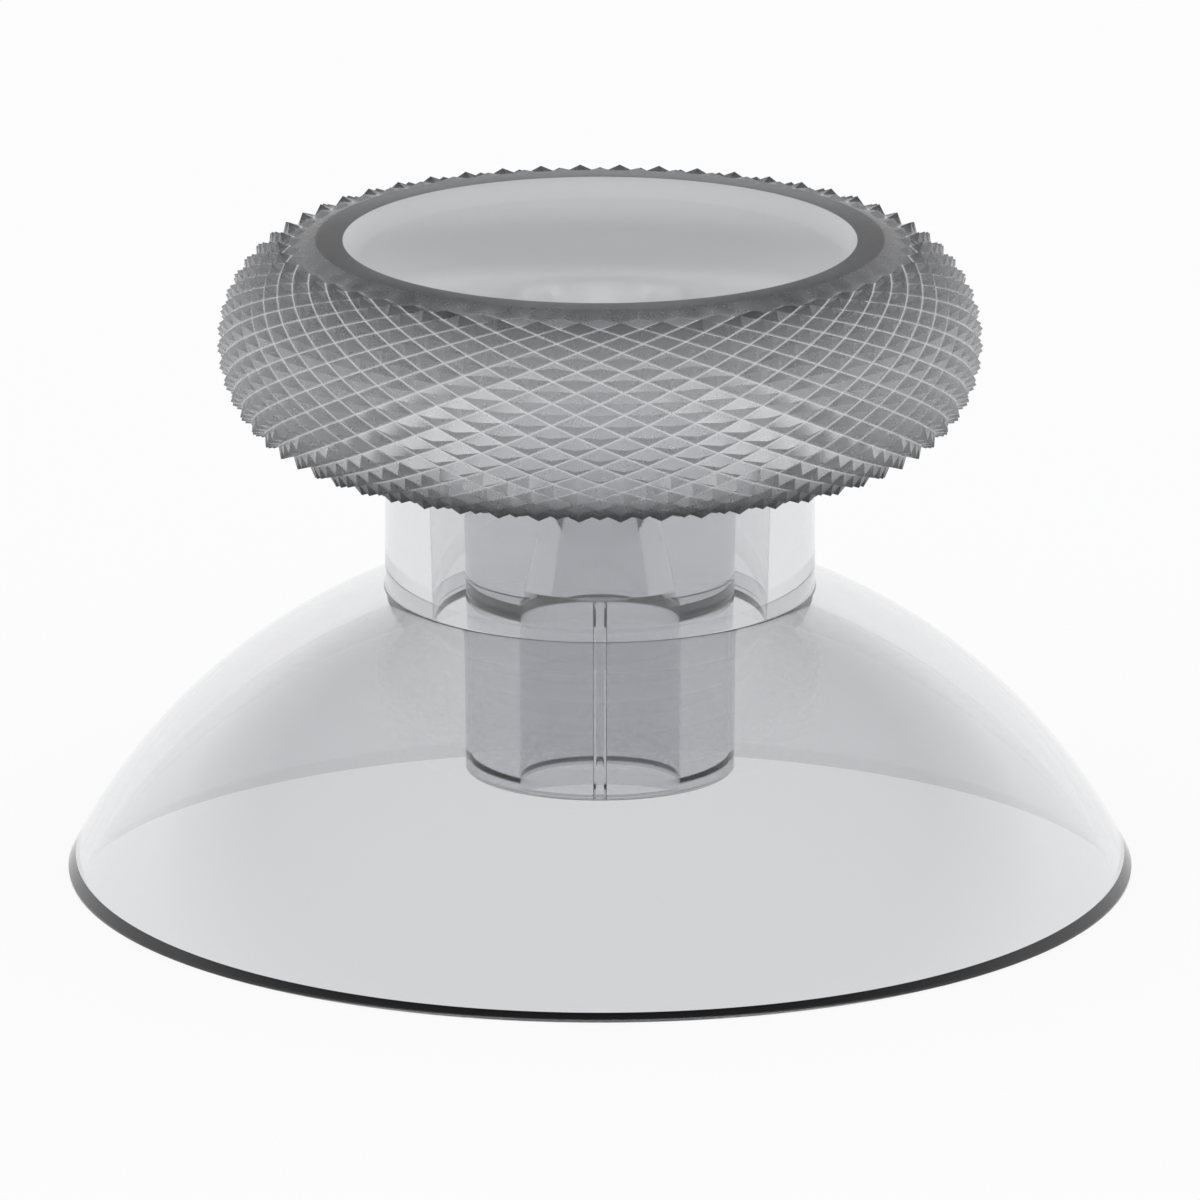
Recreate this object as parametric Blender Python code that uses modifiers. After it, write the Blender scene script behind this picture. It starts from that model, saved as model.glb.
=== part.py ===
"""Clear thumbstick for a game controller, moulded in one piece.

A hollow dome carries a tubular neck, and the neck carries a dished cap with a
diamond-knurled edge. A boss hangs from the cap inside the neck and the dome. Its
round socket, with a crush rib at its front and one at its back, grips the shaft of the
stick mechanism.

The dome's rim stands on z = 0, centred on the z axis. The front is -y.
"""

import math

import bmesh
import bpy
from mathutils import Matrix

MM = 0.001

# Dome: a spherical shell with a narrow upright band at its rim
RIM_RADIUS = 12.65 * MM
RIM_BAND = 0.08 * MM
RIM_EDGE = 0.04 * MM
RIM_WALL = 0.65 * MM
DOME_HEIGHT = 6.90 * MM
DOME_WALL_AT_NECK = 1.00 * MM

# Neck: a plain tube between the dome and the cap
NECK_RADIUS = 5.09 * MM
NECK_WALL = 1.17 * MM
NECK_HEAD_FILLET = 0.25 * MM

# Cap: a ring of oval section, with a flat lip on top and a dish inside the lip
CAP_RADIUS = 8.82 * MM
CAP_MIDDLE_HEIGHT = 12.85 * MM
CAP_HALF_WIDTH = 2.13 * MM
CAP_HALF_HEIGHT = 2.36 * MM
LIP_RISE = 0.10 * MM
LIP_WIDTH = 0.64 * MM
LIP_EDGE = 0.08 * MM
DISH_SHOULDER_DROP = 0.40 * MM
DISH_SHOULDER_WIDTH = 0.30 * MM
DISH_DEPTH = 1.45 * MM

# Knurl: pyramids on crossed helices, round the cap's oval section
KNURL_COUNT = 50
KNURL_DEPTH = 0.21 * MM
KNURL_ROW_ANGLE = 6.15
KNURL_ROWS_EACH_WAY = 13
KNURL_RUN_OUT_ROWS = 2

# Boss, the hollow round it and the socket in it
BOSS_RADIUS = 3.15 * MM
BOSS_END_HEIGHT = 2.50 * MM
BOSS_EDGE = 0.15 * MM
CEILING_THICKNESS = 2.00 * MM
SOCKET_RADIUS = 1.86 * MM
SOCKET_DEPTH = 4.79 * MM
CRUSH_RIB_RADIUS = 0.13 * MM
TIP_DEPTH = 2.60 * MM
TIP_BASE_RADIUS = 1.12 * MM
TIP_END_RADIUS = 0.77 * MM

# Fineness of the mesh
DOME_STEPS = 6
DISH_STEPS = 4
EDGE_STEPS = 2
SOCKET_ARC_STEPS = 6
CRUSH_RIB_STEPS = 4
TIP_STEPS = 16
SHARP_ANGLE = 35
WELD = 0.0001 * MM
CUT_OVERRUN = 1.0 * MM

PLASTIC_COLOUR = (0.80, 0.81, 0.83, 1.0)
PLASTIC_ROUGHNESS = 0.05
PLASTIC_IOR = 1.58


def clear_scene():
    """Remove every object, so that only the part is left."""
    for obj in list(bpy.data.objects):
        bpy.data.objects.remove(obj, do_unlink=True)


def clear_plastic():
    """The moulding's clear polycarbonate, with a faint smoke tint."""
    material = bpy.data.materials.new("clear_polycarbonate")
    material.use_nodes = True
    shader = material.node_tree.nodes["Principled BSDF"]
    shader.inputs["Base Color"].default_value = PLASTIC_COLOUR
    shader.inputs["Roughness"].default_value = PLASTIC_ROUGHNESS
    shader.inputs["Metallic"].default_value = 0.0
    shader.inputs["Transmission Weight"].default_value = 1.0
    shader.inputs["IOR"].default_value = PLASTIC_IOR
    return material


def arc(centre, radius, start, end, steps):
    """Points on a circle, from the start angle to the end angle, in degrees."""
    points = []
    for i in range(steps + 1):
        angle = math.radians(start + (end - start) * i / steps)
        points.append((centre[0] + radius * math.cos(angle), centre[1] + radius * math.sin(angle)))
    return points


def sphere_through(high, low):
    """Centre height and radius of the sphere on the z axis through two points (r, z)."""
    difference = math.hypot(*high) ** 2 - math.hypot(*low) ** 2
    centre = difference / (2 * (high[1] - low[1]))
    return centre, math.dist((0.0, centre), high)


def sphere_arc(start, end, steps):
    """Points (r, z) from start to end on the sphere through both, centred on the z axis."""
    centre, radius = sphere_through(*sorted((start, end), key=lambda point: -point[1]))
    first, last = (math.degrees(math.atan2(z - centre, r)) for r, z in (start, end))
    return arc((0.0, centre), radius, first, last, steps)


def cap_point(angle, height=0.0):
    """Point (r, z) at a height over the cap's oval section, at an angle above level."""
    turn = math.radians(angle)
    return (
        CAP_RADIUS - CAP_HALF_WIDTH + (CAP_HALF_WIDTH + height) * math.cos(turn),
        CAP_MIDDLE_HEIGHT + (CAP_HALF_HEIGHT + height) * math.sin(turn),
    )


def dish_floor():
    """Height of the dish's middle."""
    return cap_point(90)[1] + LIP_RISE - DISH_DEPTH


def dish_profile():
    """Profile (r, z) from the dish's middle out to the lip's outer edge."""
    lip_radius, section_top = cap_point(90)
    lip_height = section_top + LIP_RISE
    lip_inner = lip_radius - LIP_WIDTH
    shoulder = (lip_inner - DISH_SHOULDER_WIDTH, lip_height - DISH_SHOULDER_DROP)
    edge_centre = (lip_inner + LIP_EDGE, lip_height - LIP_EDGE)
    profile = sphere_arc((0.0, dish_floor()), shoulder, DISH_STEPS)
    profile += arc(edge_centre, LIP_EDGE, 180, 90, EDGE_STEPS)
    profile.append((lip_radius, lip_height))
    return profile


def knurl_angle(row):
    """Angle above level of a knurl row, where row 0 is the top one."""
    return (KNURL_ROWS_EACH_WAY - row) * KNURL_ROW_ANGLE


def knurl_profile():
    """Profile of the knurl's valleys, one point for each row, top to bottom."""
    return [cap_point(knurl_angle(row)) for row in range(2 * KNURL_ROWS_EACH_WAY + 1)]


def shell_profile():
    """Profile from under the cap down the neck, over the dome and up inside it."""
    underside = cap_point(-90)[1]
    fillet_centre = (NECK_RADIUS + NECK_HEAD_FILLET, underside - NECK_HEAD_FILLET)
    neck_foot = (NECK_RADIUS, DOME_HEIGHT)
    band_top = (RIM_RADIUS, RIM_BAND)
    centre, radius = sphere_through(neck_foot, band_top)
    bore_radius = NECK_RADIUS - NECK_WALL
    # The wall at the neck is measured down from the dome's outer curve, at the bore
    bore_foot = centre + math.sqrt(radius**2 - bore_radius**2) - DOME_WALL_AT_NECK

    profile = arc(fillet_centre, NECK_HEAD_FILLET, 90, 180, EDGE_STEPS)
    profile += sphere_arc(neck_foot, band_top, DOME_STEPS)
    profile += [(RIM_RADIUS, RIM_EDGE), (RIM_RADIUS - RIM_EDGE, 0.0)]
    profile += sphere_arc((RIM_RADIUS - RIM_WALL, 0.0), (bore_radius, bore_foot), DOME_STEPS)
    return profile


def boss_profile():
    """Profile from the ceiling of the hollow down the boss and in to the axis."""
    ceiling = dish_floor() - CEILING_THICKNESS
    edge_centre = (BOSS_RADIUS - BOSS_EDGE, BOSS_END_HEIGHT + BOSS_EDGE)
    profile = [(NECK_RADIUS - NECK_WALL, ceiling), (BOSS_RADIUS, ceiling)]
    profile += arc(edge_centre, BOSS_EDGE, 0, -90, EDGE_STEPS)
    profile.append((0.0, BOSS_END_HEIGHT))
    return profile


def turn_outline(collection):
    """Turn the whole profile round the z axis, with each knurl row's number on its vertices."""
    knurl = knurl_profile()
    before_knurl = dish_profile()
    profile = before_knurl + knurl + shell_profile() + boss_profile()
    data = bpy.data.meshes.new("thumbstick_profile")
    edges = [(i, i + 1) for i in range(len(profile) - 1)]
    data.from_pydata([(r, 0.0, z) for r, z in profile], edges, [])
    row_numbers = data.attributes.new("knurl_row", "INT", "POINT")
    for row in range(len(knurl)):
        row_numbers.data[len(before_knurl) + row].value = row + 1

    outline = bpy.data.objects.new("thumbstick_profile", data)
    collection.objects.link(outline)
    turn = outline.modifiers.new("turn", "SCREW")
    turn.steps = 2 * KNURL_COUNT
    turn.render_steps = turn.steps
    turn.use_merge_vertices = True
    turn.merge_threshold = WELD
    graph = bpy.context.evaluated_depsgraph_get()
    turned = bpy.data.meshes.new_from_object(outline.evaluated_get(graph), depsgraph=graph)
    bpy.data.objects.remove(outline)
    return turned


def raise_knurl(data):
    """Push every second vertex of the knurl's rows out, and fold the faces along the valleys."""
    mesh = bmesh.new()
    mesh.from_mesh(data)
    row_number = mesh.verts.layers.int["knurl_row"]
    last_row = 2 * KNURL_ROWS_EACH_WAY
    peaks = set()
    for vert in mesh.verts:
        row = vert[row_number] - 1
        column = round(math.atan2(vert.co.y, vert.co.x) * KNURL_COUNT / math.pi)
        if row < 0 or (row + column) % 2:
            continue
        peaks.add(vert)
        run_out = min(1.0, min(row, last_row - row) / KNURL_RUN_OUT_ROWS)
        r, z = cap_point(knurl_angle(row), KNURL_DEPTH * run_out)
        vert.co.xy *= r / vert.co.xy.length
        vert.co.z = z
    for face in list(mesh.faces):
        if all(vert[row_number] for vert in face.verts):
            valleys = [vert for vert in face.verts if vert not in peaks]
            bmesh.utils.face_split(face, *valleys)
    mesh.to_mesh(data)
    mesh.free()


def socket_outline():
    """Corners (x, y) of the socket, with a half-round crush rib at its front and its back."""
    foot = math.degrees(math.acos(CRUSH_RIB_RADIUS / SOCKET_RADIUS))
    quarter = arc((0.0, 0.0), SOCKET_RADIUS, 0, foot, SOCKET_ARC_STEPS)
    rib_centre = (0.0, quarter.pop()[1])
    half = quarter + arc(rib_centre, CRUSH_RIB_RADIUS, 0, -180, CRUSH_RIB_STEPS)
    half += [(-x, y) for x, y in reversed(quarter[1:])]
    return half + [(-x, -y) for x, y in half]


def add_cutter(name, mesh, stick, collection):
    """Make a hidden cutter of a bmesh, and cut the stick with it."""
    bmesh.ops.recalc_face_normals(mesh, faces=mesh.faces)
    data = bpy.data.meshes.new(name)
    mesh.to_mesh(data)
    mesh.free()
    cutter = bpy.data.objects.new(name, data)
    cutter.hide_render = True
    cutter.display_type = "WIRE"
    collection.objects.link(cutter)
    cut = stick.modifiers.new(name, "BOOLEAN")
    cut.operation = "DIFFERENCE"
    cut.object = cutter


def cut_socket(stick, collection):
    """Cut the socket: a prism of its outline, up from below the boss's end."""
    mesh = bmesh.new()
    below = BOSS_END_HEIGHT - CUT_OVERRUN
    base = mesh.faces.new([mesh.verts.new((x, y, below)) for x, y in socket_outline()])
    raised = bmesh.ops.extrude_face_region(mesh, geom=[base])["geom"]
    top = [item for item in raised if isinstance(item, bmesh.types.BMVert)]
    bmesh.ops.translate(mesh, verts=top, vec=(0.0, 0.0, SOCKET_DEPTH + CUT_OVERRUN))
    add_cutter("socket", mesh, stick, collection)


def cut_tip(stick, collection):
    """Cut the round taper that carries on from the socket's blind end."""
    mesh = bmesh.new()
    overlap = TIP_DEPTH / 10
    widening = (TIP_BASE_RADIUS - TIP_END_RADIUS) * overlap / TIP_DEPTH
    middle = BOSS_END_HEIGHT + SOCKET_DEPTH + (TIP_DEPTH - overlap) / 2
    bmesh.ops.create_cone(
        mesh,
        cap_ends=True,
        segments=TIP_STEPS,
        radius1=TIP_BASE_RADIUS + widening,
        radius2=TIP_END_RADIUS,
        depth=TIP_DEPTH + overlap,
        matrix=Matrix.Translation((0.0, 0.0, middle)),
    )
    add_cutter("socket_tip", mesh, stick, collection)


def make_thumbstick(collection, cutters):
    """The whole moulding, with its socket cut out of the boss."""
    data = turn_outline(collection)
    raise_knurl(data)
    data.name = "thumbstick"
    data.materials.append(clear_plastic())
    data.shade_smooth()
    data.set_sharp_from_angle(angle=math.radians(SHARP_ANGLE))
    stick = bpy.data.objects.new("thumbstick", data)
    collection.objects.link(stick)
    cut_socket(stick, cutters)
    cut_tip(stick, cutters)


def main():
    """Build the thumbstick in its own collection, and its cutters in another."""
    clear_scene()
    parts = bpy.data.collections.new("controller_thumbstick")
    cutters = bpy.data.collections.new("cutters")
    bpy.context.scene.collection.children.link(parts)
    bpy.context.scene.collection.children.link(cutters)
    make_thumbstick(parts, cutters)


main()
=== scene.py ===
"""Studio scene of a clear controller thumbstick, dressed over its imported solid.

The thumbstick is one clear polycarbonate moulding: a dome-shaped skirt, a tubular
neck, a dished cap with a diamond-knurled edge, and a boss with a round socket that
hangs inside the neck and the dome. It stands on a pale floor, turned so that the
socket's two crush ribs lie at the front and the back.

Sizes are in metres. The whole moulding is one closed mesh, as light needs it to be:
its smooth faces are turned from one outline, its knurl is grown by Geometry Nodes,
and its socket is sunk into the boss.
"""

import logging
import math
from dataclasses import dataclass, field
from enum import Enum
from typing import Any

import bmesh
import bpy
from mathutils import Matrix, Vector


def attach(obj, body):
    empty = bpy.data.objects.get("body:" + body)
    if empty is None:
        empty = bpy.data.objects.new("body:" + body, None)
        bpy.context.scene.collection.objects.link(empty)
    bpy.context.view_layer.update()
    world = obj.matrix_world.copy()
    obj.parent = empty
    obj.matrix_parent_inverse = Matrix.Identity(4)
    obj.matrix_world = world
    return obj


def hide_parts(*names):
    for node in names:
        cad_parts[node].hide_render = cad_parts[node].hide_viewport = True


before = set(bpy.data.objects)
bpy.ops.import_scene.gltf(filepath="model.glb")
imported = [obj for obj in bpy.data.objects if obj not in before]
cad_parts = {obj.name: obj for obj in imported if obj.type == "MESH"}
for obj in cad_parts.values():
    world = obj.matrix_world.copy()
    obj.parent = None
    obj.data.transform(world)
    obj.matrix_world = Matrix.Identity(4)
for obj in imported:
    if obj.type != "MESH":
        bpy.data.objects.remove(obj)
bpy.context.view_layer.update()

MM = 0.001
WELD = 0.0001 * MM
ZONE = "zone"
VALLEY_HIGHLIGHT = "valley"
WHITE = (1.0, 1.0, 1.0, 1.0)
Point = tuple[float, float]
Colour = tuple[float, float, float, float]

log = logging.getLogger("thumbstick")


class Zone(Enum):
    """The parts of the surface that are finished differently, by their value in the mesh; the lip
    and the knurl also carry painted shade, and the knurl painted highlight lines.
    """

    POLISHED = 0.0
    DISH = 1.0
    LIP = 2.0
    KNURL = 3.0


class Value:
    """A node's output that takes part in Python arithmetic, adding the Math nodes for it."""

    def __init__(self, nodes: "Nodes", socket: bpy.types.NodeSocket) -> None:
        """Wrap a socket.

        Args:
            nodes: the tree that the socket is in.
            socket: the output that gives the value.
        """
        self.nodes = nodes
        self.socket = socket

    def math(self, operation: str, *others: "Value | float", swap: bool = False) -> "Value":
        """Work out one Math node.

        Args:
            operation: the Math node's operation.
            others: the other operands.
            swap: True to put this value second.

        Returns:
            The node's result.
        """
        operands = [self, *others]
        if swap:
            operands.reverse()
        sockets = dict(enumerate(operands))
        node = self.nodes.add("ShaderNodeMath", {"operation": operation}, sockets)
        return Value(self.nodes, node.outputs[0])

    def __add__(self, other: "Value | float") -> "Value":
        """Return self + other."""
        return self.math("ADD", other)

    def __radd__(self, other: float) -> "Value":
        """Return other + self."""
        return self.math("ADD", other, swap=True)

    def __sub__(self, other: "Value | float") -> "Value":
        """Return self - other."""
        return self.math("SUBTRACT", other)

    def __rsub__(self, other: float) -> "Value":
        """Return other - self."""
        return self.math("SUBTRACT", other, swap=True)

    def __mul__(self, other: "Value | float") -> "Value":
        """Return self * other."""
        return self.math("MULTIPLY", other)

    def __rmul__(self, other: float) -> "Value":
        """Return other * self."""
        return self.math("MULTIPLY", other, swap=True)

    def __truediv__(self, other: "Value | float") -> "Value":
        """Return self / other."""
        return self.math("DIVIDE", other)

    def __mod__(self, other: "Value | float") -> "Value":
        """Return self modulo other."""
        return self.math("MODULO", other)

    def at_most(self, other: "Value | float") -> "Value":
        """Return the smaller of self and other."""
        return self.math("MINIMUM", other)

    def at_least(self, other: "Value | float") -> "Value":
        """Return the larger of self and other."""
        return self.math("MAXIMUM", other)

    def between(self, low: float, high: float) -> "Value":
        """Return how far self is on the way from low to high, held between 0 and 1."""
        return ((self - low) / (high - low)).at_least(0.0).at_most(1.0)


class Nodes:
    """A node tree that is built by method calls."""

    def __init__(self, tree: bpy.types.NodeTree) -> None:
        """Wrap a node tree and empty it."""
        self.tree = tree
        tree.nodes.clear()

    def add(
        self,
        kind: str,
        settings: dict[str, Any] | None = None,
        sockets: dict[str | int, Any] | None = None,
    ) -> bpy.types.Node:
        """Add a node.

        Args:
            kind: the node's type name.
            settings: its own settings, set first.
            sockets: what each input takes: a plain value, a Value or another node's output.

        Returns:
            The new node.
        """
        node = self.tree.nodes.new(kind)
        for name, setting in (settings or {}).items():
            setattr(node, name, setting)
        for name, source in (sockets or {}).items():
            self.feed(node.inputs[name], source)
        return node

    def feed(self, socket: bpy.types.NodeSocket, source: Any) -> None:
        """Link a socket to a Value or an output, or set it to a plain value."""
        if isinstance(source, Value):
            source = source.socket
        if isinstance(source, bpy.types.NodeSocket):
            self.tree.links.new(source, socket)
        else:
            socket.default_value = source

    def value(self, node: bpy.types.Node, output: str | int = 0) -> Value:
        """Return a node's output as a Value."""
        return Value(self, node.outputs[output])

    def attribute(self, name: str) -> Value:
        """Return a number that is stored in the mesh."""
        return self.value(self.add("ShaderNodeAttribute", {"attribute_name": name}), "Fac")

    def parts(self, vector: bpy.types.NodeSocket) -> dict[str, Value]:
        """Return a vector's numbers by their axis."""
        node = self.add("ShaderNodeSeparateXYZ", sockets={"Vector": vector})
        return {axis: self.value(node, axis) for axis in "XYZ"}

    def mixed(self, factor: Any, first: Any, second: Any) -> bpy.types.NodeSocket:
        """Blend two colours.

        Args:
            factor: the share of the second.
            first: the colour at a factor of 0.
            second: the colour at a factor of 1.

        Returns:
            The output that gives the blend.
        """
        sockets = {"Factor": factor, 6: first, 7: second}
        return self.add("ShaderNodeMix", {"data_type": "RGBA"}, sockets).outputs[2]

    def matt(self, colour: bpy.types.NodeSocket) -> bpy.types.NodeSocket:
        """Return a shader that only scatters light, in a colour."""
        sockets = {"Base Color": colour, "Roughness": 1.0, "Specular IOR Level": 0.0}
        return self.add("ShaderNodeBsdfPrincipled", sockets=sockets).outputs[0]

    def noise(self, place: bpy.types.NodeSocket, scale: float, detail: float) -> Value:
        """Add a noise over the surface.

        Args:
            place: the place on the piece.
            scale: how fine the noise is.
            detail: how many finer layers it has.

        Returns:
            The noise, from 0 to 1.
        """
        sockets = {"Vector": place, "Scale": scale, "Detail": detail}
        return self.value(self.add("ShaderNodeTexNoise", sockets=sockets), "Fac")


@dataclass
class Outline:
    """A profile (r, z) that is turned round the z axis, drawn from its start.

    Attributes:
        points: the points drawn so far.
        radii: the corner radius at each point, or 0.
    """

    points: list[Point] = field(default_factory=list)
    radii: list[float] = field(default_factory=list)

    def to(self, r: float, z: float, corner: float = 0.0) -> "Outline":
        """Draw a straight line to a point.

        Args:
            r: the point's distance from the axis.
            z: its height.
            corner: the corner radius there.

        Returns:
            The outline.
        """
        self.points.append((r, z))
        self.radii.append(corner)
        return self

    def sphere(self, r: float, z: float, steps: int, corner: float = 0.0) -> "Outline":
        """Draw an arc, centred on the z axis, from the last point to a point.

        Args:
            r: the end's distance from the axis.
            z: the end's height.
            steps: the number of chords.
            corner: the corner radius at the end.

        Returns:
            The outline.
        """
        start_r, start_z = self.points[-1]
        rise = z - start_z
        centre = (r * r + z * z - start_r * start_r - start_z * start_z) / (2 * rise)
        radius = math.hypot(r, z - centre)
        first = math.atan2(start_z - centre, start_r)
        last = math.atan2(z - centre, r)
        for i in range(1, steps):
            turn = first + (last - first) * i / steps
            self.to(radius * math.cos(turn), centre + radius * math.sin(turn))
        return self.to(r, z, corner)

    def rounded(self, steps: int) -> list[Point]:
        """Return the points with each marked corner turned into an arc.

        Args:
            steps: the number of chords in a corner.

        Returns:
            The points (r, z) in order.
        """
        rounded = []
        for i, (point, radius) in enumerate(zip(self.points, self.radii)):
            if radius == 0.0:
                rounded.append(point)
                continue
            corner = Vector(point)
            before = (Vector(self.points[i - 1]) - corner).normalized()
            after = (Vector(self.points[i + 1]) - corner).normalized()
            half = before.angle(after) / 2
            centre = corner + (before + after).normalized() * radius / math.sin(half)
            start = (corner + before * radius / math.tan(half) - centre).normalized()
            end = (corner + after * radius / math.tan(half) - centre).normalized()
            for k in range(steps + 1):
                rounded.append(tuple(centre + start.slerp(end, k / steps) * radius))
        return rounded


@dataclass
class Dome:
    """The spherical skirt, with an upright band at its rim."""

    rim_radius: float = 12.65 * MM
    rim_band: float = 0.08 * MM
    rim_edge: float = 0.03 * MM
    rim_wall: float = 0.65 * MM
    height: float = 6.90 * MM
    wall_at_neck: float = 1.00 * MM
    steps: int = 60

    def sphere_height(self, r: float, neck_radius: float) -> float:
        """Work out the height of the outer curve.

        Args:
            r: the distance from the axis.
            neck_radius: the radius at which the curve meets the neck.

        Returns:
            Its height there.
        """
        rim, neck = (self.rim_radius, self.rim_band), (neck_radius, self.height)
        centre = (math.hypot(*neck) ** 2 - math.hypot(*rim) ** 2) / (2 * (neck[1] - rim[1]))
        return centre + math.sqrt(math.hypot(neck[0], neck[1] - centre) ** 2 - r * r)

    def draw(self, outline: Outline, neck: "Neck") -> None:
        """Draw the dome's outer face down, round its rim, and its inner face up.

        Args:
            outline: the outline, drawn as far as the neck's foot.
            neck: the neck that the dome hangs on.
        """
        bore_foot = self.sphere_height(neck.bore, neck.radius) - self.wall_at_neck
        outline.sphere(self.rim_radius, self.rim_band, self.steps, self.rim_edge)
        outline.to(self.rim_radius, 0.0, self.rim_edge)
        outline.to(self.rim_radius - self.rim_wall, 0.0)
        outline.sphere(neck.bore, bore_foot, self.steps, neck.bore_edge)


@dataclass
class Neck:
    """The tube between the dome and the cap."""

    radius: float = 5.09 * MM
    wall: float = 1.17 * MM
    head_fillet: float = 0.25 * MM
    head_reach: float = 3.0
    foot_fillet: float = 0.05 * MM
    bore_edge: float = 0.05 * MM
    hollow_fillet: float = 0.25 * MM

    @property
    def bore(self) -> float:
        """Radius of the neck's inside."""
        return self.radius - self.wall

    def draw(self, outline: Outline, underside: float, dome: Dome) -> None:
        """Draw from the cap's underside down the neck to the dome.

        Args:
            outline: the outline, which this starts.
            underside: the height of the cap's underside.
            dome: the dome that the neck stands on.
        """
        outline.to(self.radius + self.head_reach * self.head_fillet, underside)
        outline.to(self.radius, underside, self.head_fillet)
        outline.to(self.radius, dome.height, self.foot_fillet)


@dataclass
class Cap:
    """The grip: a ring of oval section, with a lip and a dish."""

    radius: float = 8.82 * MM
    middle: float = 12.85 * MM
    half_width: float = 2.13 * MM
    half_height: float = 2.36 * MM
    lip_rise: float = 0.10 * MM
    lip_width: float = 0.64 * MM
    lip_edge: float = 0.06 * MM
    shoulder_drop: float = 0.40 * MM
    shoulder_width: float = 0.30 * MM
    dish_depth: float = 1.45 * MM
    ceiling_thickness: float = 2.00 * MM
    steps: int = 40

    @property
    def lip_radius(self) -> float:
        """Radius of the lip's outer edge, over the middle of the ring's section."""
        return self.radius - self.half_width

    @property
    def lip_height(self) -> float:
        """Height of the lip."""
        return self.middle + self.half_height + self.lip_rise

    @property
    def ceiling(self) -> float:
        """Height of the top of the hollow in the neck."""
        return self.lip_height - self.dish_depth - self.ceiling_thickness

    @property
    def underside(self) -> float:
        """Height of the ring's lowest line, where the neck starts."""
        return self.middle - self.half_height

    @property
    def lip_inner(self) -> float:
        """Radius of the lip's inner edge."""
        return self.lip_radius - self.lip_width

    def draw(self, outline: Outline) -> None:
        """Draw the dish from its middle out to the lip's outer edge."""
        shoulder = self.lip_height - self.shoulder_drop
        outline.to(0.0, self.lip_height - self.dish_depth)
        outline.sphere(self.lip_inner - self.shoulder_width, shoulder, self.steps)
        outline.to(self.lip_inner, self.lip_height, self.lip_edge)
        outline.to(self.lip_radius, self.lip_height)


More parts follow.
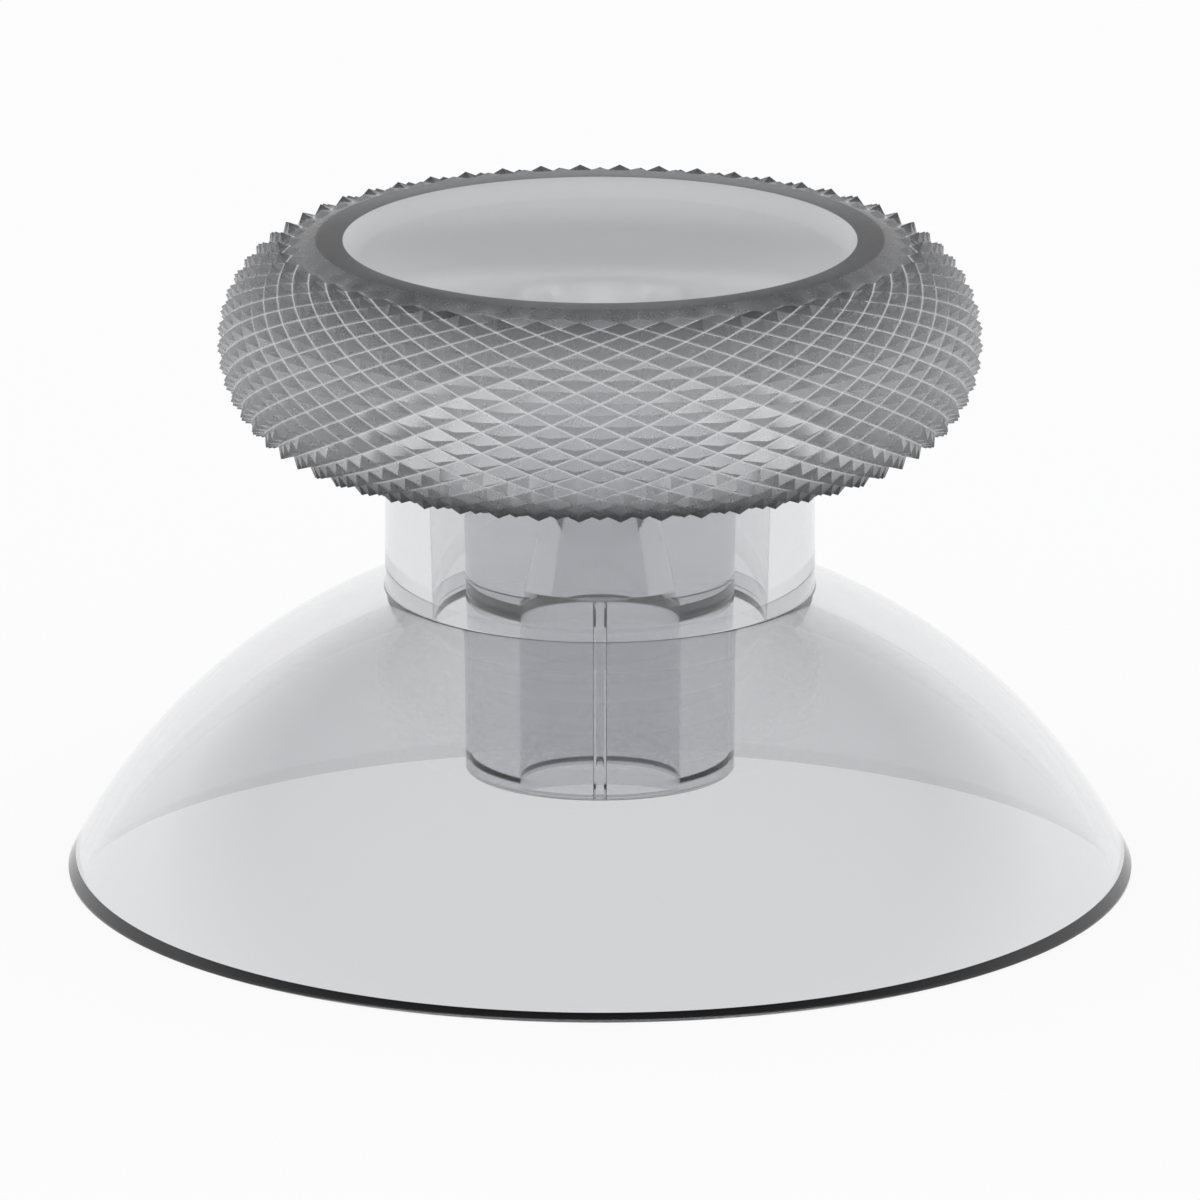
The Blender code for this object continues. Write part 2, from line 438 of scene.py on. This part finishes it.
@dataclass
class Knurl:
    """Pyramids on crossed helices round the cap's oval section.

    Attributes:
        count: the pyramids once round.
        depth: their height.
        row_angle: the turn round the section from one row to the next.
        rows_each_way: the rows above the section's middle, and below it.
        run_out_rows: the rows over which they come up from nothing at each edge.
        shaded_rows: the lowest rows, whose valleys get no painted highlight line.
    """

    count: int = 50
    depth: float = 0.21 * MM
    row_angle: float = math.radians(6.15)
    rows_each_way: int = 13
    run_out_rows: int = 2
    shaded_rows: int = 5
    seam_gap: float = 0.001 * MM

    def tree(self) -> bpy.types.NodeTree:
        """Build the Geometry Nodes tree that grows the knurled band.

        Returns:
            The tree, with a named input for each size.
        """
        tree = bpy.data.node_groups.new("knurled_band", "GeometryNodeTree")
        nodes = Nodes(tree)
        face = tree.interface.new_socket
        face(name="Geometry", in_out="INPUT", socket_type="NodeSocketGeometry")
        for name in ("Count", "Rows Each Way"):
            face(name=name, in_out="INPUT", socket_type="NodeSocketInt")
        for name in ("Row Angle", "Depth", "Run Out Rows", "Shaded Rows"):
            face(name=name, in_out="INPUT", socket_type="NodeSocketFloat")
        for name in ("Cap Radius", "Middle", "Half Width", "Half Height"):
            face(name=name, in_out="INPUT", socket_type="NodeSocketFloat")
        face(name="Finish", in_out="INPUT", socket_type="NodeSocketMaterial")
        face(name="Geometry", in_out="OUTPUT", socket_type="NodeSocketGeometry")

        given = nodes.add("NodeGroupInput")
        count = nodes.value(given, "Count")
        each_way = nodes.value(given, "Rows Each Way")
        columns = count * 2.0
        rows = each_way * 2.0
        grid = nodes.add(
            "GeometryNodeMeshGrid",
            sockets={"Vertices X": columns + 1.0, "Vertices Y": rows + 1.0},
        )
        index = nodes.value(nodes.add("GeometryNodeInputIndex"))
        column = (index / (rows + 1.0)).math("FLOOR")
        row = index - column * (rows + 1.0)
        around = column * math.pi / count
        section = (row - each_way) * nodes.value(given, "Row Angle")
        run_out = (row.at_most(rows - row) / nodes.value(given, "Run Out Rows")).at_most(1.0)
        peak = 1.0 - (row + column) % 2.0
        height = peak * run_out * nodes.value(given, "Depth")
        half_width = nodes.value(given, "Half Width")
        ring = nodes.value(given, "Cap Radius") - half_width
        radius = ring + (half_width + height) * section.math("COSINE")
        rise = (nodes.value(given, "Half Height") + height) * section.math("SINE")
        place = nodes.add(
            "ShaderNodeCombineXYZ",
            sockets={
                "X": radius * around.math("COSINE"),
                "Y": radius * around.math("SINE"),
                "Z": nodes.value(given, "Middle") + rise,
            },
        )
        # The painted highlight lines stop short of the lip and of the shaded underside
        shown = (row / nodes.value(given, "Shaded Rows")).at_most(rows - row).at_most(1.0)
        highlight_lines = nodes.add(
            "GeometryNodeStoreNamedAttribute",
            {"data_type": "FLOAT", "domain": "POINT"},
            {"Geometry": grid.outputs["Mesh"], "Name": VALLEY_HIGHLIGHT, "Value": (1.0 - peak) * shown},
        )
        wrapped = nodes.add(
            "GeometryNodeSetPosition",
            sockets={"Geometry": highlight_lines.outputs[0], "Position": place.outputs[0]},
        )
        closed = nodes.add(
            "GeometryNodeMergeByDistance",
            sockets={"Geometry": wrapped.outputs[0], "Distance": self.seam_gap},
        )
        # The peaks stand further apart than the valleys, so the short way folds along a valley
        folded = nodes.add("GeometryNodeTriangulate", sockets={"Mesh": closed.outputs[0]})
        short_way = folded.inputs.get("Quad Method")
        if short_way is None:
            folded.quad_method = "SHORTEST_DIAGONAL"
        else:
            short_way.default_value = "Shortest Diagonal"
        marked = nodes.add(
            "GeometryNodeStoreNamedAttribute",
            {"data_type": "FLOAT", "domain": "FACE"},
            {"Geometry": folded.outputs[0], "Name": ZONE, "Value": Zone.KNURL.value},
        )
        real = nodes.add("GeometryNodeRealizeInstances", sockets={"Geometry": marked.outputs[0]})
        dressed = nodes.add(
            "GeometryNodeSetMaterial",
            sockets={"Geometry": real.outputs[0], "Material": given.outputs["Finish"]},
        )
        nodes.add("NodeGroupOutput", sockets={"Geometry": dressed.outputs[0]})
        return tree

    def build(self, cap: Cap, finish: bpy.types.Material) -> bpy.types.Mesh:
        """Grow the band and return it as a plain mesh.

        Args:
            cap: the cap whose section it lies on.
            finish: the plastic.

        Returns:
            The band's mesh, open at its two edges.
        """
        band = bpy.data.objects.new("knurl_maker", bpy.data.meshes.new("knurl_maker"))
        bpy.context.scene.collection.objects.link(band)
        grow = band.modifiers.new("knurl", "NODES")
        grow.node_group = self.tree()
        sizes = {
            "Count": self.count,
            "Rows Each Way": self.rows_each_way,
            "Row Angle": self.row_angle,
            "Depth": self.depth,
            "Run Out Rows": float(self.run_out_rows),
            "Shaded Rows": float(self.shaded_rows),
            "Cap Radius": cap.radius,
            "Middle": cap.middle,
            "Half Width": cap.half_width,
            "Half Height": cap.half_height,
            "Finish": finish,
        }
        for item in grow.node_group.interface.items_tree:
            if item.in_out == "INPUT" and item.name in sizes:
                grow[item.identifier] = sizes[item.name]
        return finished_mesh(band)


@dataclass
class Boss:
    """The stem with the socket for the mechanism's shaft."""

    radius: float = 3.15 * MM
    end: float = 2.50 * MM
    edge: float = 0.12 * MM
    edge_reach: float = 2.0
    root_fillet: float = 0.15 * MM
    socket_radius: float = 1.86 * MM
    socket_depth: float = 4.79 * MM
    rib_radius: float = 0.13 * MM
    tip_depth: float = 2.60 * MM
    tip_base: float = 1.12 * MM
    tip_end: float = 0.77 * MM
    arc_steps: int = 24
    rib_steps: int = 16
    tip_steps: int = 64

    def draw(self, outline: Outline, neck: Neck, ceiling: float) -> None:
        """Draw the ceiling of the hollow, the boss's side and the outside of its end.

        Args:
            outline: the outline, drawn as far as the dome's inner face.
            neck: the neck that the boss hangs in.
            ceiling: the height of the top of the hollow.
        """
        outline.to(neck.bore, ceiling, neck.hollow_fillet)
        outline.to(self.radius, ceiling, self.root_fillet)
        outline.to(self.radius, self.end, self.edge)
        outline.to(self.radius - self.edge_reach * self.edge, self.end)

    def socket_outline(self) -> list[Point]:
        """Draw the socket's outline, with a half-round crush rib at its front and its back.

        Returns:
            Its corners (x, y) in order.
        """
        foot = math.acos(self.rib_radius / self.socket_radius)
        quarter = arc((0.0, 0.0), self.socket_radius, 0.0, foot, self.arc_steps)
        rib_centre = (0.0, quarter.pop()[1])
        half = quarter + arc(rib_centre, self.rib_radius, 0.0, -math.pi, self.rib_steps)
        half += [(-x, y) for x, y in reversed(quarter[1:])]
        return half + [(-x, -y) for x, y in half]

    def sink_socket(self, mesh: bmesh.types.BMesh) -> None:
        """Close the boss's open end round a socket that is sunk into it.

        Args:
            mesh: the moulding, open at the boss's end.
        """
        rim = [edge for edge in mesh.edges if edge.is_boundary]
        mouth = edge_loop(mesh, self.socket_outline(), self.end)
        bmesh.ops.triangle_fill(mesh, use_beauty=True, edges=rim + mouth)
        bottom = raised_loop(mesh, mouth, self.socket_depth, 1.0)
        circle = arc((0.0, 0.0), self.tip_base, 0.0, 2 * math.pi, self.tip_steps)[:-1]
        base = edge_loop(mesh, circle, self.end + self.socket_depth)
        bmesh.ops.triangle_fill(mesh, use_beauty=True, edges=bottom + base)
        tip = raised_loop(mesh, base, self.tip_depth, self.tip_end / self.tip_base)
        bmesh.ops.contextual_create(mesh, geom=tip)


@dataclass(frozen=True)
class Polish:
    """How one zone of the plastic takes light.

    Attributes:
        tint: the colour of the light that passes.
        roughness: how far it spreads the light.
        frost: the share of the light that its matt skin scatters.
    """

    tint: Colour
    roughness: float
    frost: float = 0.0


@dataclass(frozen=True)
class ClearPlastic:
    """Polycarbonate with a faint smoke tint: polished, with a satin dish, dull lip and dull knurl.
    The lip's dark tint is painted shade, the knurl takes painted shade towards its upper and its
    lower edge, and its valleys take painted highlight lines.

    Attributes:
        polished: the finish of the dome, the neck, the boss and the socket.
        dish: the finish of the dish.
        lip: the finish of the lip, whose dark tint is painted shade.
        knurl: the finish of the knurl's row that has no painted shade.
        knurl_edge_painted_shade: the knurl's near-black tint at its upper and its lower edge,
            which is painted shade.
        knurl_unshaded_row: how far above the middle the row without painted shade is, over the
            half height.
        valley: the near-white tint of the painted highlight lines along the knurl's valleys.
        valley_highlight_frost: the share of light that those painted highlight lines scatter
            besides the knurl's.
        valley_highlight_width: the width of half a painted highlight line, over the way from a
            valley to a peak.
        smoke: the tint of the body of the plastic.
        smoke_density: how fast that tint deepens.
        ior: the refractive index.
        grain_scale: the scale of the unpolished zones' grain.
        grain_detail: the detail of the grain.
        grain_roughness: how far the grain changes the roughness.
        grain_mean: the middle of the noise that makes the grain.
        zone_gap: half the step between the values of two zones.
    """

    polished: Polish = Polish((0.79, 0.793, 0.805, 1.0), 0.0)
    dish: Polish = Polish((0.72, 0.724, 0.735, 1.0), 0.35, 0.50)
    # Painted shade: the lip's near-black tint stands for the shade seen in it
    lip: Polish = Polish((0.12, 0.122, 0.13, 1.0), 0.50)
    knurl: Polish = Polish((0.82, 0.822, 0.84, 1.0), 0.28, 0.25)
    knurl_edge_painted_shade: Colour = (0.05, 0.051, 0.056, 1.0)
    knurl_unshaded_row: float = 0.08
    valley: Colour = (0.90, 0.902, 0.92, 1.0)
    valley_highlight_frost: float = 0.55
    valley_highlight_width: float = 0.16
    smoke: Colour = (0.80, 0.805, 0.82, 1.0)
    smoke_density: float = 100.0
    ior: float = 1.58
    grain_scale: float = 4.0 / MM
    grain_detail: float = 3.0
    grain_roughness: float = 0.10
    grain_mean: float = 0.5
    zone_gap: float = 0.5

    def build(self, cap: Cap) -> bpy.types.Material:
        """Make the material.

        Args:
            cap: the cap, whose knurl takes painted shade towards its upper and its lower edge.

        Returns:
            The plastic, finished by zone, with painted shade and painted highlights in some zones.
        """
        material = bpy.data.materials.new("clear_polycarbonate")
        material.use_nodes = True
        nodes = Nodes(material.node_tree)
        place = nodes.add("ShaderNodeTexCoord").outputs["Object"]
        zone = nodes.attribute(ZONE)
        # Mask of the painted highlight lines along the knurl's valleys
        line = nodes.attribute(VALLEY_HIGHLIGHT).between(1.0 - self.valley_highlight_width, 1.0)
        noise = nodes.noise(place, self.grain_scale, self.grain_detail)
        grain = (noise - self.grain_mean) * self.grain_roughness
        finishes = ((Zone.DISH, self.dish), (Zone.LIP, self.lip), (Zone.KNURL, self.knurl))
        colour: Any = self.polished.tint
        roughness: Any = self.polished.roughness
        frost: Any = self.polished.frost
        for kind, finish in finishes:
            here = zone.math("COMPARE", kind.value, self.zone_gap)
            tint, skin = finish.tint, finish.frost
            if kind is Zone.KNURL:
                # The knurl's tint takes painted shade at its edges and painted highlight lines
                # along its valleys
                tint = nodes.mixed(line, self.knurl_tint_with_painted_shade(nodes, place, cap), self.valley)
                skin = line * self.valley_highlight_frost + skin
            colour = nodes.mixed(here, colour, tint)
            roughness = here * (grain + finish.roughness) + roughness
            frost = here * skin + frost
        clear = nodes.add(
            "ShaderNodeBsdfPrincipled",
            sockets={
                "Base Color": colour,
                "Roughness": roughness,
                "IOR": self.ior,
                "Transmission Weight": 1.0,
            },
        )
        surface = nodes.add(
            "ShaderNodeMixShader",
            sockets={"Fac": frost, 1: clear.outputs[0], 2: nodes.matt(colour)},
        )
        smoke = nodes.add(
            "ShaderNodeVolumeAbsorption",
            sockets={"Color": self.smoke, "Density": self.smoke_density},
        )
        nodes.add(
            "ShaderNodeOutputMaterial",
            sockets={"Surface": surface.outputs[0], "Volume": smoke.outputs[0]},
        )
        return material

    def knurl_tint_with_painted_shade(
        self, nodes: Nodes, place: bpy.types.NodeSocket, cap: Cap
    ) -> bpy.types.NodeSocket:
        """Work out the knurl's tint, with painted shade that deepens towards its upper and its
        lower edge.

        Args:
            nodes: the material's tree.
            place: the place on the piece.
            cap: the cap that the knurl lies on.

        Returns:
            The output that gives the tint.
        """
        height = nodes.parts(place)["Z"]
        away = (height - cap.middle) / cap.half_height - self.knurl_unshaded_row
        # Painted shade: the tint goes from the knurl's own tint to near black towards its upper
        # and lower edge
        return nodes.mixed((away * away).at_most(1.0), self.knurl.tint, self.knurl_edge_painted_shade)


@dataclass(frozen=True)
class PaleFloor:
    """The studio floor: white to the eye, but still darkened by the thumbstick's shadow."""

    size: float = 2.0
    drop: float = 0.02 * MM
    paint: Colour = (0.86, 0.86, 0.87, 1.0)
    worn: Colour = (0.82, 0.82, 0.83, 1.0)
    mottle_scale: float = 60.0
    mottle_detail: float = 2.0
    glow: float = 0.88

    def build(self) -> bpy.types.Object:
        """Lay the floor.

        Returns:
            The floor.
        """
        mesh = bmesh.new()
        bmesh.ops.create_grid(mesh, x_segments=1, y_segments=1, size=self.size / 2)
        bmesh.ops.translate(mesh, verts=mesh.verts, vec=(0.0, 0.0, -self.drop))
        floor = mesh_object("studio_floor", mesh)
        floor.data.materials.append(self.material())
        return floor

    def material(self) -> bpy.types.Material:
        """Make the floor's paint, which seen directly or through plastic is part white glow.

        Returns:
            The paint.
        """
        material = bpy.data.materials.new("pale_floor")
        material.use_nodes = True
        nodes = Nodes(material.node_tree)
        seen = seen_rays(nodes)
        place = nodes.add("ShaderNodeTexCoord").outputs["Object"]
        mottle = nodes.noise(place, self.mottle_scale, self.mottle_detail)
        coat = nodes.mixed(mottle, self.paint, self.worn)
        paint = nodes.matt(coat)
        white = nodes.add("ShaderNodeEmission", sockets={"Color": WHITE, "Strength": 1.0})
        mixed = nodes.add(
            "ShaderNodeMixShader",
            sockets={"Fac": seen * self.glow, 1: paint, 2: white.outputs[0]},
        )
        nodes.add("ShaderNodeOutputMaterial", sockets={"Surface": mixed.outputs[0]})
        return material


@dataclass(frozen=True)
class StudioLight:
    """A white backdrop, a greyer room on the camera's side and a dark ceiling over both.

    Matt surfaces get even white light from all round. Only clear and shiny ones show the
    backdrop, the room and the ceiling.

    Attributes:
        room: the grey of the camera's side.
        ceiling: the grey of the ceiling.
        room_side: where the room ends, as a direction's Y.
        backdrop_side: where the backdrop starts, as a direction's Y.
        backdrop_top: where the walls end, as a direction's Z.
        ceiling_edge: where the ceiling starts, as a direction's Z.
    """

    room: Colour = (0.80, 0.80, 0.81, 1.0)
    ceiling: Colour = (0.20, 0.20, 0.205, 1.0)
    room_side: float = -0.5
    backdrop_side: float = 0.2
    backdrop_top: float = 0.30
    ceiling_edge: float = 0.60

    def build(self) -> None:
        """Set the world."""
        world = bpy.data.worlds.new("studio")
        world.use_nodes = True
        bpy.context.scene.world = world
        nodes = Nodes(world.node_tree)
        generated = nodes.add("ShaderNodeTexCoord").outputs["Generated"]
        toward = nodes.parts(generated)
        behind = toward["Y"].between(self.room_side, self.backdrop_side)
        overhead = toward["Z"].between(self.backdrop_top, self.ceiling_edge)
        walls = nodes.mixed(behind, self.room, WHITE)
        studio = nodes.mixed(overhead, walls, self.ceiling)
        fill = nodes.add("ShaderNodeBackground", sockets={"Color": WHITE, "Strength": 1.0})
        seen = nodes.add("ShaderNodeBackground", sockets={"Color": studio, "Strength": 1.0})
        mixed = nodes.add(
            "ShaderNodeMixShader",
            sockets={"Fac": seen_rays(nodes), 1: fill.outputs[0], 2: seen.outputs[0]},
        )
        nodes.add("ShaderNodeOutputWorld", sockets={"Surface": mixed.outputs[0]})


def seen_rays(nodes: Nodes) -> Value:
    """Tell the rays that show a thing to the camera, directly, mirrored or through plastic.

    Args:
        nodes: the tree of the material or the world.

    Returns:
        1 for those rays, and 0 for the rest.
    """
    path = nodes.add("ShaderNodeLightPath")
    names = ("Is Camera Ray", "Is Glossy Ray", "Is Transmission Ray")
    camera, glossy, through = (nodes.value(path, name) for name in names)
    return camera.at_least(glossy).at_least(through)


@dataclass(frozen=True)
class ProductCamera:
    """The photograph's view: square to the front, a little from above."""

    elevation: float = math.radians(15.8)
    distance: float = 308.0 * MM
    aim: float = 6.48 * MM
    field_width: float = 28.42 * MM
    sensor: float = 36.0
    nearest: float = 3.08 * MM

    def build(self) -> bpy.types.Object:
        """Make the camera and set it as the scene's.

        Returns:
            The camera.
        """
        data = bpy.data.cameras.new("product_camera")
        data.sensor_width = self.sensor
        data.lens = self.sensor * self.distance / self.field_width
        data.clip_start = self.nearest
        camera = bpy.data.objects.new("product_camera", data)
        bpy.context.scene.collection.objects.link(camera)
        back = Vector((0.0, -math.cos(self.elevation), math.sin(self.elevation)))
        camera.location = Vector((0.0, 0.0, self.aim)) + back * self.distance
        camera.rotation_mode = "QUATERNION"
        camera.rotation_quaternion = (-back).to_track_quat("-Z", "Y")
        bpy.context.scene.camera = camera
        return camera


def arc(centre: Point, radius: float, start: float, end: float, steps: int) -> list[Point]:
    """Draw part of a circle.

    Args:
        centre: its centre.
        radius: its radius.
        start: the angle of its first point.
        end: the angle of its last point.
        steps: the number of chords.

    Returns:
        The points in order, both ends among them.
    """
    turns = [start + (end - start) * i / steps for i in range(steps + 1)]
    return [(centre[0] + radius * math.cos(t), centre[1] + radius * math.sin(t)) for t in turns]


def edge_loop(mesh: bmesh.types.BMesh, points: list[Point], z: float) -> list[bmesh.types.BMEdge]:
    """Add a closed loop of edges at one height.

    Args:
        mesh: the mesh that takes it.
        points: its corners (x, y) in order.
        z: its height.

    Returns:
        The loop's edges.
    """
    corners = [mesh.verts.new((x, y, z)) for x, y in points]
    return [mesh.edges.new((corners[i - 1], corner)) for i, corner in enumerate(corners)]


def raised_loop(
    mesh: bmesh.types.BMesh, loop: list[bmesh.types.BMEdge], rise: float, taper: float
) -> list[bmesh.types.BMEdge]:
    """Raise walls from a loop of edges.

    Args:
        mesh: the mesh.
        loop: the edges at the foot of the walls.
        rise: the walls' height.
        taper: the size of the loop at their top, over that of the one at their foot.

    Returns:
        The edges at the top of the walls.
    """
    raised = bmesh.ops.extrude_edge_only(mesh, edges=loop)["geom"]
    corners = [item for item in raised if isinstance(item, bmesh.types.BMVert)]
    for corner in corners:
        corner.co = (corner.co.x * taper, corner.co.y * taper, corner.co.z + rise)
    tops = set(corners)
    edges = [item for item in raised if isinstance(item, bmesh.types.BMEdge)]
    return [edge for edge in edges if tops.issuperset(edge.verts)]


def mesh_object(name: str, mesh: bmesh.types.BMesh) -> bpy.types.Object:
    """Make an object of a bmesh, with its faces pointing out, and link it to the scene.

    Args:
        name: the object's name.
        mesh: its shape, which is freed.

    Returns:
        The object.
    """
    bmesh.ops.recalc_face_normals(mesh, faces=mesh.faces)
    data = bpy.data.meshes.new(name)
    mesh.to_mesh(data)
    mesh.free()
    obj = bpy.data.objects.new(name, data)
    bpy.context.scene.collection.objects.link(obj)
    return obj


def finished_mesh(obj: bpy.types.Object) -> bpy.types.Mesh:
    """Apply an object's modifiers, and remove the object.

    Args:
        obj: the object.

    Returns:
        The mesh that its modifiers made.
    """
    graph = bpy.context.evaluated_depsgraph_get()
    mesh = bpy.data.meshes.new_from_object(obj.evaluated_get(graph), depsgraph=graph)
    bpy.data.objects.remove(obj)
    return mesh


@dataclass
class Thumbstick:
    """The whole moulding, assembled from its forms into one closed mesh."""

    dome: Dome = field(default_factory=Dome)
    neck: Neck = field(default_factory=Neck)
    cap: Cap = field(default_factory=Cap)
    knurl: Knurl = field(default_factory=Knurl)
    boss: Boss = field(default_factory=Boss)
    plastic: ClearPlastic = field(default_factory=ClearPlastic)
    turn_steps: int = 300
    corner_steps: int = 5
    sharp_angle: float = math.radians(35)

    def outlines(self) -> list[list[Point]]:
        """Draw the smooth faces above and below the knurl.

        Returns:
            Their two outlines.
        """
        above, below = Outline(), Outline()
        self.cap.draw(above)
        self.neck.draw(below, self.cap.underside, self.dome)
        self.dome.draw(below, self.neck)
        self.boss.draw(below, self.neck, self.cap.ceiling)
        return [above.rounded(self.corner_steps), below.rounded(self.corner_steps)]

    def turned_mesh(self, outlines: list[list[Point]]) -> bpy.types.Mesh:
        """Turn the outlines once round the z axis.

        Args:
            outlines: the outlines' points in order.

        Returns:
            The turned mesh.
        """
        data = bpy.data.meshes.new("outline")
        verts: list[tuple[float, float, float]] = []
        edges: list[tuple[int, int]] = []
        for outline in outlines:
            first = len(verts)
            verts += [(r, 0.0, z) for r, z in outline]
            edges += [(i, i + 1) for i in range(first, len(verts) - 1)]
        data.from_pydata(verts, edges, [])
        blank = bpy.data.objects.new("outline", data)
        bpy.context.scene.collection.objects.link(blank)
        turn = blank.modifiers.new("turn", "SCREW")
        turn.steps = self.turn_steps
        turn.render_steps = self.turn_steps
        turn.use_merge_vertices = True
        turn.merge_threshold = WELD
        return finished_mesh(blank)

    def close_knurl(self, mesh: bmesh.types.BMesh) -> None:
        """Bridge the gaps between the knurled band and the smooth faces above and below it.

        Args:
            mesh: the moulding, whose only other open edge is at the boss's end.
        """
        zone = mesh.faces.layers.float[ZONE]
        edges = [edge for edge in mesh.edges if edge.is_boundary]
        edges = [edge for edge in edges if edge.verts[0].co.z > self.dome.height]
        for side in (1, -1):
            pair = [edge for edge in edges if side * (edge.verts[0].co.z - self.cap.middle) > 0]
            for face in bmesh.ops.bridge_loops(mesh, edges=pair)["faces"]:
                face[zone] = Zone.KNURL.value

    def mark_cap(self, mesh: bmesh.types.BMesh) -> None:
        """Mark the dish and the lip on the cap's top.

        Args:
            mesh: the moulding, whose knurl is marked already.
        """
        zone = mesh.faces.layers.float[ZONE]
        for face in mesh.faces:
            middle = face.calc_center_median()
            if face[zone] == Zone.KNURL.value or middle.z < self.cap.middle:
                continue
            on_lip = middle.xy.length > self.cap.lip_inner
            face[zone] = (Zone.LIP if on_lip else Zone.DISH).value

    def build(self) -> bpy.types.Object:
        """Make the moulding and dress it in plastic.

        Returns:
            The finished piece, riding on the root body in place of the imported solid.
        """
        finish = self.plastic.build(self.cap)
        mesh = bmesh.new()
        mesh.from_mesh(self.turned_mesh(self.outlines()))
        for face in mesh.faces:
            face.smooth = True
        turned = len(mesh.faces)
        mesh.from_mesh(self.knurl.build(self.cap, finish))
        mesh.faces.ensure_lookup_table()
        for face in mesh.faces[turned:]:
            face.smooth = False
        self.close_knurl(mesh)
        self.mark_cap(mesh)
        self.boss.sink_socket(mesh)
        stick = mesh_object("clear_thumbstick", mesh)
        stick.data.materials.clear()
        stick.data.materials.append(finish)
        stick.data.set_sharp_from_angle(angle=self.sharp_angle)
        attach(stick, "root")
        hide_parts("thumbstick")
        return stick


def main() -> None:
    """Build the thumbstick, the stage round it and the camera."""
    logging.basicConfig(level=logging.INFO, format="%(name)s: %(message)s")
    bpy.context.scene.view_settings.view_transform = "Standard"
    stick = Thumbstick().build()
    log.info("%s: %d faces", stick.name, len(stick.data.polygons))
    floor = PaleFloor().build()
    log.info("%s laid", floor.name)
    StudioLight().build()
    camera = ProductCamera().build()
    log.info("%s placed", camera.name)


if __name__ == "__main__":
    main()
